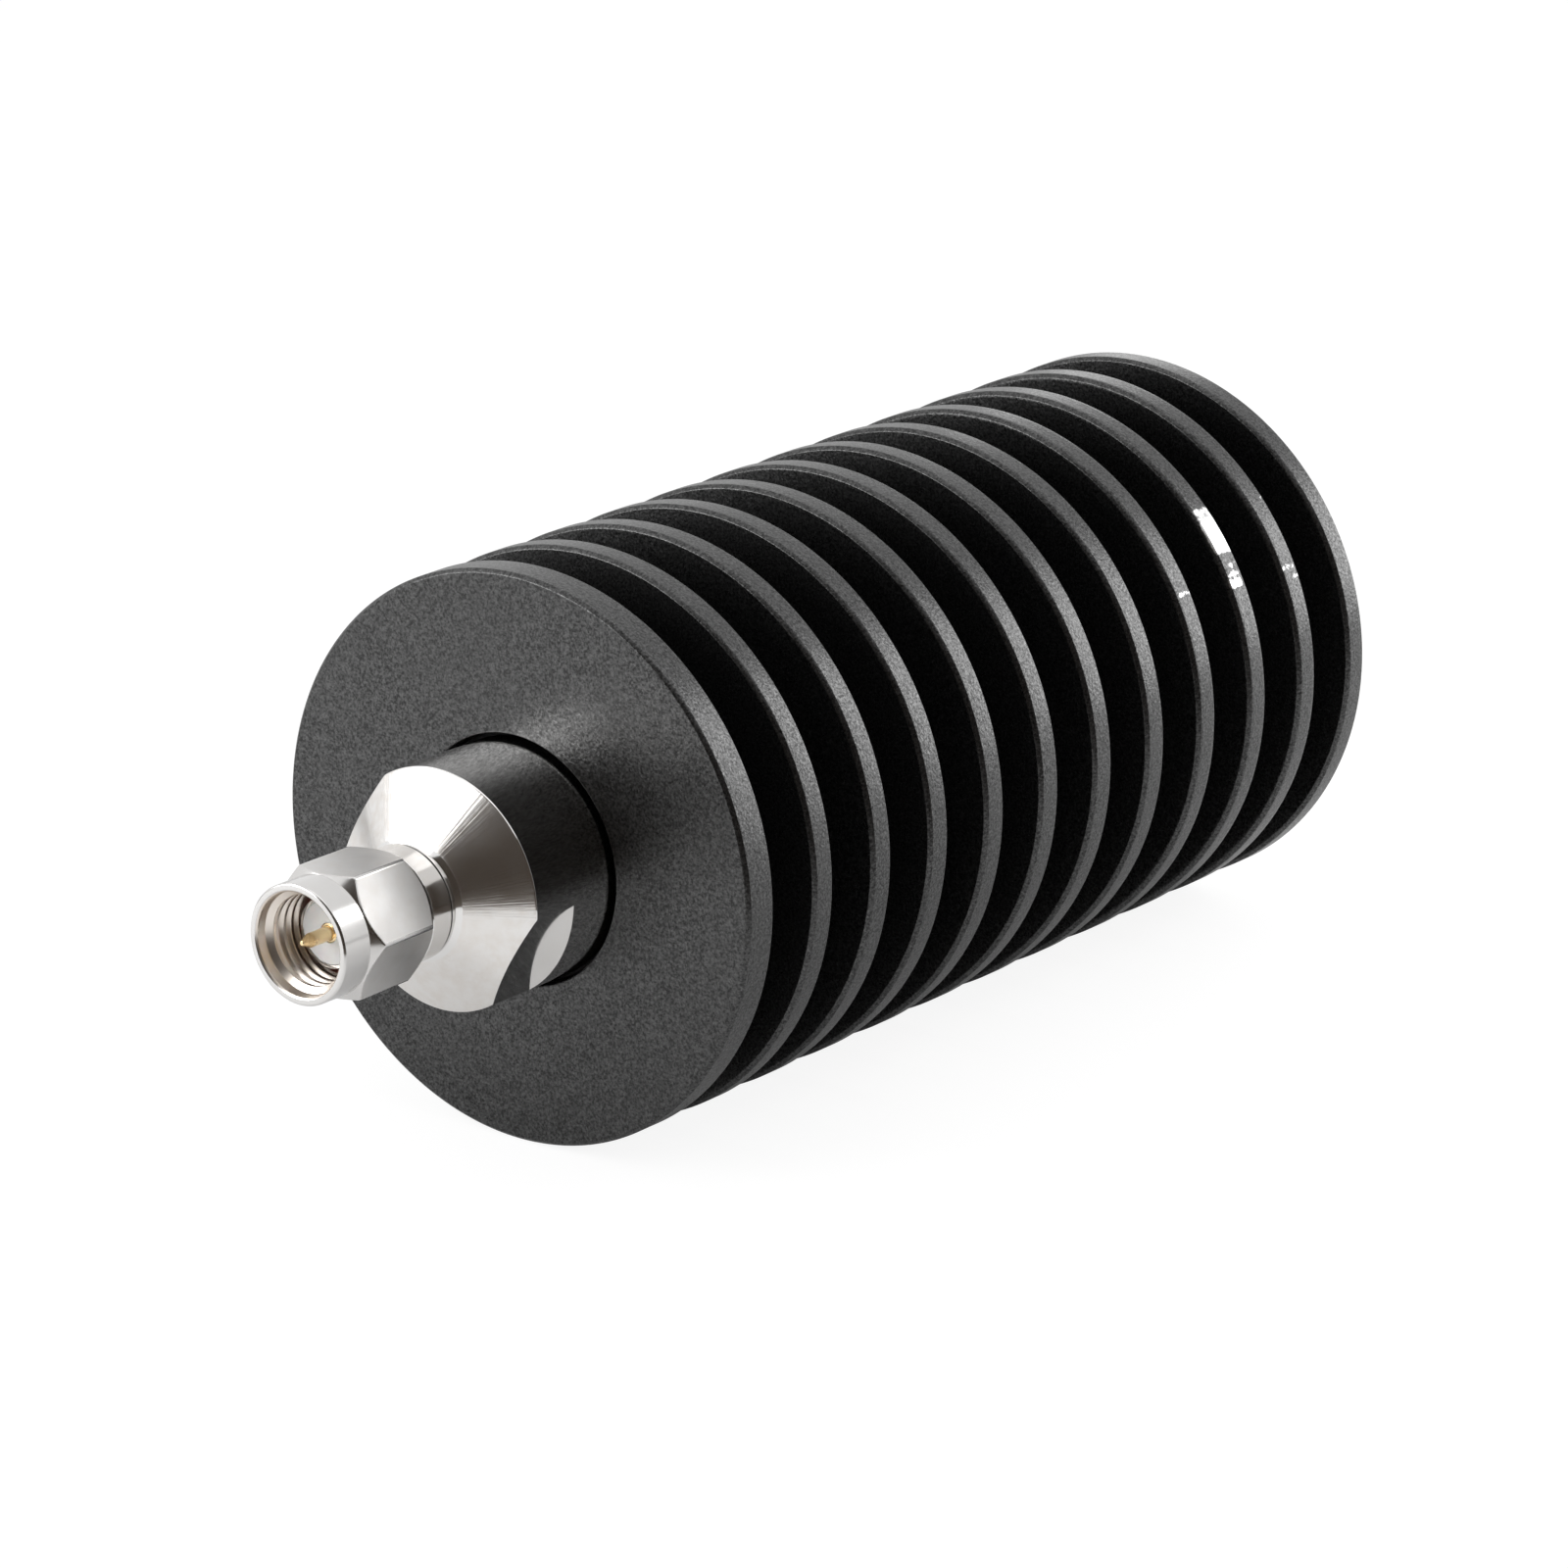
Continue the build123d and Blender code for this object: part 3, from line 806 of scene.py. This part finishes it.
def grey(value, warm=0.0):
    """A grey with that much more red and less blue."""
    return (value * (1 + warm), value, value * (1 - warm), 1)


def darker(colour):
    """The darker of the two tones that a plain material changes between."""
    return tuple(channel * 0.85 for channel in colour)


def steel(name, value, warm, roughness, aniso, ring, grain, blotch, streak=0.0, stain=0.0):
    """Turned stainless steel. ring, grain and streak are the heights in millimetres of the turning
    rings, the fine grain and the streaks across the rings. blotch is how far the polish changes,
    and stain how far the stains darken."""
    made, add = material(name)
    where = add("TexCoord").outputs["Object"]
    rings = ring_noise(add, 9000, 0.35, rough=0.65)
    grains = noise(add, where, scale=9000, detail=3.0, rough=0.6)
    cloud = noise(add, where, scale=350, detail=3.0, rough=0.55)
    tint = grey(value * 0.96, warm * 1.4)
    colour = mixed(add, spread(add, cloud, 0.35, 0.7, 0, 1), grey(value, warm), tint)
    if stain:
        patches = noise(add, where, scale=1300, detail=5.0, rough=0.65)
        stained = grey(value * (1 - stain), warm + stain * 0.3)
        colour = mixed(add, spread(add, patches, 0.4, 0.65, 0, 1), colour, stained)
    wear = maths(add, "ADD", cloud, maths(add, "MULTIPLY", rings, 0.6))
    relief = bump(add, grains, grain, below=bump(add, rings, ring))
    if streak:
        streaks = ring_noise(add, 150, 45, detail=2.0)
        relief = bump(add, streaks, streak, below=relief)
    output(add, add("BsdfPrincipled", {
        "Base Color": colour,
        "Metallic": 1.0,
        "Roughness": spread(add, wear, 0.5, 1.1, roughness - blotch, roughness + blotch),
        "Anisotropic": aniso,
        "Anisotropic Rotation": 0.25,
        "Tangent": add("Tangent", direction_type="RADIAL", axis="Y").outputs[0],
        "Normal": relief,
    }))
    return made


cone_steel = steel(
    "turned_steel", value=0.785, warm=0.02, roughness=0.22, aniso=0.7,
    ring=0.0012, grain=0.0003, blotch=0.04, streak=0.0075, stain=0.09,
)
neck_steel = steel(
    "neck_steel", value=0.78, warm=0.01, roughness=0.10, aniso=0.6,
    ring=0.0004, grain=0.0001, blotch=0.02,
)
flat_steel = steel(
    "milled_steel", value=0.76, warm=0.01, roughness=0.10, aniso=0.0,
    ring=0.0001, grain=0.0001, blotch=0.02,
)
body_steel = steel(
    "polished_steel", value=0.78, warm=0.01, roughness=0.08, aniso=0.0,
    ring=0.0001, grain=0.0001, blotch=0.015,
)
nut_steel = steel(
    "satin_steel", value=0.655, warm=0.015, roughness=0.34, aniso=0.1,
    ring=0.0002, grain=0.0016, blotch=0.05, stain=0.05,
)
collar_steel = steel(
    "collar_steel", value=0.665, warm=0.015, roughness=0.17, aniso=0.3,
    ring=0.0003, grain=0.0002, blotch=0.02,
)
thread_steel = steel(
    "thread_steel", value=0.73, warm=0.08, roughness=0.32, aniso=0.3,
    ring=0.0003, grain=0.0002, blotch=0.03,
)


def black_anodised():
    """Bead-blasted black anodising: dimples, paler specks, and bare metal where it is worn off."""
    made, add = material("black_anodised_blasted")
    where = add("TexCoord").outputs["Object"]
    cells = {"Vector": where, "Scale": 4200.0, "Randomness": 1.0}
    dimples = add("TexVoronoi", cells, feature="F1").outputs["Distance"]
    grain = noise(add, where, scale=6000, rough=0.7)
    cloud = noise(add, where, scale=180, detail=3.0)
    gloss = noise(add, where, scale=6500, detail=1.0)
    colour = mixed(add, spread(add, grain, 0.36, 0.70, 0, 1), grey(0.030), grey(0.134))
    colour = mixed(add, spread(add, cloud, 0.3, 0.7, 0, 0.25), colour, grey(0.075))
    height = maths(add, "ADD", maths(add, "MULTIPLY", dimples, 0.8), grain)
    blasted = add("BsdfPrincipled", {
        "Base Color": colour,
        "Metallic": 0.95,
        "Roughness": spread(add, gloss, 0.3, 0.7, 0.26, 0.38),
        "Normal": bump(add, height, distance=0.012),
    })
    scratches = ring_noise(add, 9000, 3.0)
    metal = add("BsdfPrincipled", {
        "Base Color": grey(0.86),
        "Metallic": 1.0,
        "Roughness": 0.28,
        "Normal": bump(add, scratches, distance=0.002),
    })
    worn = add("Attribute", attribute_name="worn").outputs["Fac"]
    tears = maths(add, "SUBTRACT", noise(add, where, scale=2200, detail=4.0, rough=0.7), 0.5)
    ragged = maths(add, "ADD", worn, maths(add, "MULTIPLY", tears, 1.3))
    in_spot = maths(add, "GREATER_THAN", worn, 0.02)
    bare = maths(add, "MULTIPLY", spread(add, ragged, 0.40, 0.78, 0, 1), in_spot)
    output(add, add("MixShader", {0: bare, 1: blasted.outputs[0], 2: metal.outputs[0]}))
    return made


def plain_metal(name, colour, roughness, grain=0.0005, scale=9000, rings=False):
    """A metal with slow changes of tone and fine grain, or rings, of that height."""
    made, add = material(name)
    where = add("TexCoord").outputs["Object"]
    if rings:
        marks = ring_noise(add, scale, 0.5)
    else:
        marks = noise(add, where, scale, detail=3.0, rough=0.6)
    cloud = noise(add, where, scale=500, detail=3.0)
    output(add, add("BsdfPrincipled", {
        "Base Color": mixed(add, cloud, (*colour, 1), (*darker(colour), 1)),
        "Metallic": 1.0,
        "Roughness": spread(add, cloud, 0.3, 0.7, roughness * 0.8, roughness * 1.2),
        "Normal": bump(add, marks, grain),
    }))
    return made


def plain_solid(name, colour, roughness, grain=0.002, scale=4000, other=None, subsurface=0.0):
    """A plastic, rubber or ceramic with grain of that height, which takes its tone to other."""
    made, add = material(name)
    where = add("TexCoord").outputs["Object"]
    grains = noise(add, where, scale, detail=4.0, rough=0.6)
    output(add, add("BsdfPrincipled", {
        "Base Color": mixed(add, grains, (*colour, 1), (*(other or darker(colour)), 1)),
        "Roughness": spread(add, grains, 0.3, 0.7, roughness * 0.85, roughness * 1.15),
        "Normal": bump(add, grains, grain),
        "Subsurface Weight": subsurface,
        "Subsurface Scale": 0.3 * MM,
    }))
    return made


gold = plain_metal("gold_plating", (1.0, 0.79, 0.46), roughness=0.26, grain=0.0004, rings=True)
spring = plain_metal("spring_copper_alloy", (0.72, 0.45, 0.26), roughness=0.25)
silver = plain_metal("silver_ribbon", (0.90, 0.89, 0.86), roughness=0.22)
screw_steel = plain_metal("screw_steel", (0.42, 0.42, 0.43), roughness=0.3, grain=0.0008)
copper = plain_metal("milled_copper", (0.80, 0.36, 0.22), roughness=0.3, grain=0.001, scale=6000)
aluminium = plain_metal(
    "milled_aluminium", (0.72, 0.72, 0.71), roughness=0.32, grain=0.001, scale=6000
)
ptfe = plain_solid(
    "ptfe_turned", (0.86, 0.86, 0.86), roughness=0.4,
    grain=0.001, scale=6000, other=(0.80, 0.80, 0.80), subsurface=0.1,
)
bead_plastic = plain_solid("bead_plastic", (0.62, 0.36, 0.12), roughness=0.4)
rubber = plain_solid("seal_rubber", (0.012, 0.012, 0.012), roughness=0.6, grain=0.004)
silicone = plain_solid("gasket_silicone", (0.42, 0.07, 0.04), roughness=0.5, grain=0.003)
nitride = plain_solid("nitride_ceramic", (0.62, 0.61, 0.57), roughness=0.5, grain=0.001)
alumina = plain_solid("alumina_ceramic", (0.82, 0.81, 0.78), roughness=0.4, grain=0.001)
cad_finishes = {
    "plug_dielectric": ptfe,
    "jack_dielectric": ptfe,
    "plug_bead": bead_plastic,
    "jack_bead": bead_plastic,
    "plug_seal": rubber,
    "jack_seal": rubber,
    "nut_gasket": silicone,
    "retaining_ring": spring,
    "plug_ground_spring": spring,
    "jack_ground_spring": spring,
    "jack_contact": gold,
    "chip_carrier": copper,
    "channel_cover": aluminium,
    "cover_screws": screw_steel,
    "attenuator_chip": nitride,
    "chip_lid": alumina,
    "input_tab": silver,
    "output_tab": silver,
}
for node, finish in cad_finishes.items():
    cad_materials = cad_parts[node].data.materials
    cad_materials.clear()
    cad_materials.append(finish)


def finish_faces(piece, main, others=()):
    """Gives a piece its main material, and every other one to the faces that come with it."""
    piece.data.materials.append(main)
    index = np.zeros(len(piece.data.polygons), np.int32)
    for made, faces in others:
        index[faces] = len(piece.data.materials)
        piece.data.materials.append(made)
    piece.data.polygons.foreach_set("material_index", index)


finish_faces(heatsink, black_anodised())
finish_faces(plug_pin, gold)
finish_faces(plug_shell, neck_steel)
finish_faces(jack_shell, thread_steel)

# The nut's hole has the thread's finish, its six sides the satin one, and the rest the collar's.
hole_margin = 0.03
hole_depth = 2.3
side_margin = 0.02
corner_finish_arc = 1.9
radius, y, angle = face_centres(nut)
in_hole = (radius < nut_mouth_radius - hole_margin) & (y < hole_depth)
from_corner = np.abs((angle - nut_turn + 30) % 60 - 30)
side_distance = radius * np.cos(np.radians(30 - from_corner))
on_side = np.abs(side_distance - nut_hex_distance) < side_margin
on_side &= (radius > nut_hex_distance - side_margin) & (from_corner > corner_finish_arc)
finish_faces(nut, nut_steel, [(thread_steel, in_hole), (collar_steel, ~in_hole & ~on_side)])

# The bodies' cylinders are polished, their flats milled, and their noses finished as the neck.
flat_margin = 0.01
for end, (face, way) in ENDS.items():
    body = bpy.data.objects[f"{end}_body_turned"]
    radius, y, angle = face_centres(body)
    out = (y - face) * way
    across_flats = radius * np.abs(np.cos(np.radians(angle - flat_angle)))
    on_flat = np.abs(across_flats - flat_distance) < flat_margin
    on_flat &= (out > flat_wall_out) & (radius < body_radius + flat_margin)
    on_cylinder = (out < body_out) & ~on_flat
    finish_faces(body, cone_steel, [
        (body_steel, on_cylinder), (flat_steel, on_flat), (neck_steel, out > cone_out),
    ])


# Stage: a pale floor, a pale surround, soft lamps and one dark card in front
def stage_sheet(name, rows, made):
    """A sheet of the stage through rows of points, each row as long as the others."""
    across = len(rows[0])
    corners = [tuple(c * MM for c in corner) for row in rows for corner in row]
    faces = [
        (i * across + j, i * across + j + 1, (i + 1) * across + j + 1, (i + 1) * across + j)
        for i in range(len(rows) - 1)
        for j in range(across - 1)
    ]
    mesh = bpy.data.meshes.new(name)
    mesh.from_pydata(corners, [], faces)
    piece = bpy.data.objects.new(name, mesh)
    bpy.context.scene.collection.objects.link(piece)
    mesh.materials.append(made)
    return piece


# The camera sees the floor almost white with a faint shadow, and other rays see a plain pale one.
floor_gap = 0.05
floor_z = -heatsink_radius - floor_gap
floor_reach = 6000
floor_made, add = material("pale_floor")
real = add("BsdfDiffuse", {"Color": grey(0.86)})
shade = add("BsdfDiffuse", {"Color": grey(0.16)})
glow = add("Emission", {"Color": grey(1.0), "Strength": 0.89})
lit = add("AddShader", {0: shade.outputs[0], 1: glow.outputs[0]})
seen = add("LightPath").outputs["Is Camera Ray"]
output(add, add("MixShader", {0: seen, 1: real.outputs[0], 2: lit.outputs[0]}))
stage_sheet("floor", [
    [(x, y, floor_z) for x in (-floor_reach, floor_reach)] for y in (-floor_reach, floor_reach)
], floor_made)

# The dark card lies on the floor and rises behind the camera, and only reflections show it.
card_near, card_far, card_bottom = 76, 650, -18.9
card_front_top, card_side_top, card_front_end = 1100, 570, 46
card_centre_y = 9
card_azimuths = range(-10, 119, 8)
card_made, add = material("dark_card")
output(add, add("BsdfDiffuse", {"Color": (0.085, 0.070, 0.058, 1)}))


def card_point(azimuth, distance, z):
    turn = radians(azimuth)
    return (distance * sin(turn), card_centre_y - distance * cos(turn), z)


def card_top(azimuth):
    return card_front_top if azimuth < card_front_end else card_side_top


card = stage_sheet("dark_card", [
    [card_point(azimuth, card_near, card_bottom) for azimuth in card_azimuths],
    [card_point(azimuth, card_far, card_bottom) for azimuth in card_azimuths],
    [card_point(azimuth, card_far, card_top(azimuth)) for azimuth in card_azimuths],
], card_made)
card.visible_camera = False
card.visible_diffuse = False
card.visible_shadow = False

# The surround is white where it is seen or mirrored, and darker as a light.
world_light = 0.65
world = bpy.data.worlds.new("pale_surround")
world.use_nodes = True
bpy.context.scene.world = world
add = adder(world.node_tree)
rays = add("LightPath").outputs
seen = maths(add, "MAXIMUM", rays["Is Camera Ray"], rays["Is Glossy Ray"])
seen = maths(add, "MAXIMUM", seen, rays["Is Transmission Ray"])
level = spread(add, seen, 0, 1, world_light, 1)
background = add("Background", {"Color": grey(1.0), "Strength": level})
add("OutputWorld", {"Surface": background.outputs[0]})


def lamp(name, aim, azimuth, height, distance, size, radiance):
    """A soft rectangular lamp. Azimuth 0 is in front of the plug, positive towards +X."""
    turn, rise = radians(azimuth), radians(height)
    away = Vector((sin(turn) * cos(rise), -cos(turn) * cos(rise), sin(rise)))
    data = bpy.data.lights.new(name, "AREA")
    data.shape = "RECTANGLE"
    data.size, data.size_y = (side * MM for side in size)
    data.energy = radiance * pi * data.size * data.size_y
    piece = bpy.data.objects.new(name, data)
    bpy.context.scene.collection.objects.link(piece)
    piece.location = (Vector(aim) + away * distance) * MM
    piece.rotation_euler = away.to_track_quat("Z", "Y").to_euler()
    piece.visible_camera = False


# The aim, azimuth, height, distance, size and radiance of each lamp
lamps = {
    "left_softbox": ((0, 10, 0), -42, 27, 150, (125, 100), 3.8),
    "back_softbox": ((0, 45, 0), 150, 12, 330, (150, 150), 4.2),
    "floor_softbox": ((45, 150, -19), 150, 80, 70, (70, 70), 2.6),
    "far_softbox": ((0, 100, 20), -142, 20, 60, (30, 30), 1.2),
    "edge_softbox": ((0, 0, 0), 147, 30, 330, (90, 80), 4.0),
    "top_softbox": ((0, 45, 0), 180, 80, 600, (400, 300), 0.8),
}
for name, settings in lamps.items():
    lamp(name, *settings)
bpy.data.objects["floor_softbox"].visible_glossy = False

# Camera, solved from the photograph, with its place in metres from the centre of the first rim's
# front edge
sensor_width = 36
photo_width = 1600
focal_pixels = 6945.8
camera_away = Vector((0.2647, -0.3139, 0.1384))
camera_right = Vector((0.79057, 0.61237, 0))
camera_up = Vector((-0.18933, 0.24442, 0.951))
camera_forward = Vector((-0.58236, 0.75183, -0.30917))
camera_data = bpy.data.cameras.new("photo_camera")
camera_data.sensor_width = sensor_width
camera_data.lens = sensor_width * focal_pixels / photo_width
camera = bpy.data.objects.new("photo_camera", camera_data)
bpy.context.scene.collection.objects.link(camera)
turn = Matrix((camera_right, camera_up, -camera_forward)).transposed().to_4x4()
rim_front = Vector((0, heatsink_front + fin_chamfer, 0)) * MM
camera.matrix_world = Matrix.Translation(rim_front + camera_away) @ turn
bpy.context.scene.camera = camera
bpy.context.scene.view_settings.view_transform = "Standard"
